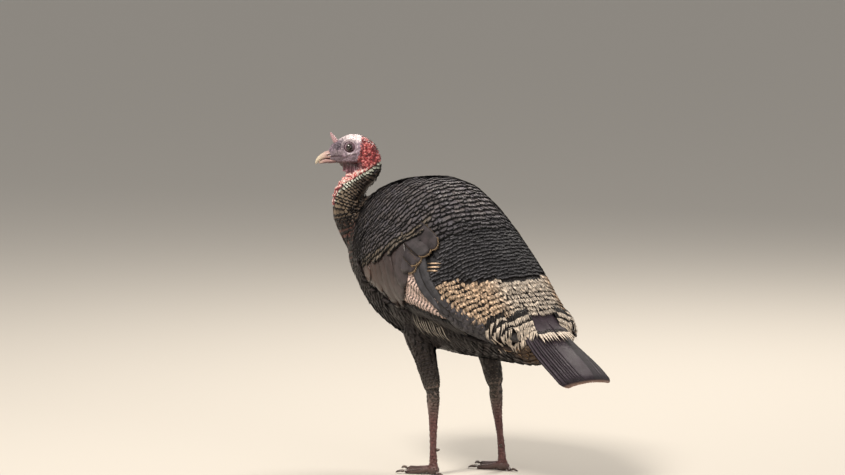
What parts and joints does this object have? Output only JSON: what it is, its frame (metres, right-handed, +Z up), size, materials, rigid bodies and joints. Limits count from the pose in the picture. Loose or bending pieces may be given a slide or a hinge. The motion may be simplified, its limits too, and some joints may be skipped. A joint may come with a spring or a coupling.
{
  "type": "wild turkey",
  "caption": "Wild turkey, a young male, standing with folded wings, lowered tail and its head turned to its left; a still life-size model of a live bird.",
  "frame": {"origin": "on the floor, under the middle of the bird's box", "axes": "+Z up, -Y the way the body faces, +X to the bird's left"},
  "size_m": [0.2614, 0.6672, 0.598],
  "materials": {
    "bare_skin": "moist matt skin with warts",
    "bill": "satin horn",
    "eye": "wet and glossy",
    "body_plumage": "dark feathers with a bronze sheen",
    "wing_plumage": "grey and brown flight feathers, barred below",
    "covert_plumage": "cream tips over dark barred feathers",
    "tail_plumage": "slate grey feathers with fine bars and buff tips",
    "beard": "coarse black bristles",
    "leg_scales": "satin scales",
    "claw": "satin horn"
  },
  "bodies": {
    "root": {"head": "bare_skin", "neck_upper": "bare_skin", "neck_lower": "body_plumage", "snood": "bare_skin", "bill_upper": "bill", "bill_lower": "bill", "left_eye": "eye", "right_eye": "eye", "trunk": "body_plumage", "tail_coverts": "covert_plumage", "tail": "tail_plumage", "left_wing": "wing_plumage", "right_wing": "wing_plumage", "beard": "beard", "left_thigh": "body_plumage", "left_shank": "leg_scales", "left_foot": "leg_scales", "left_spur": "claw", "left_claw_middle": "claw", "left_claw_inner": "claw", "left_claw_outer": "claw", "left_claw_hind": "claw", "right_thigh": "body_plumage", "right_shank": "leg_scales", "right_foot": "leg_scales", "right_spur": "claw", "right_claw_middle": "claw", "right_claw_inner": "claw", "right_claw_outer": "claw", "right_claw_hind": "claw"}
  },
  "joints": []
}
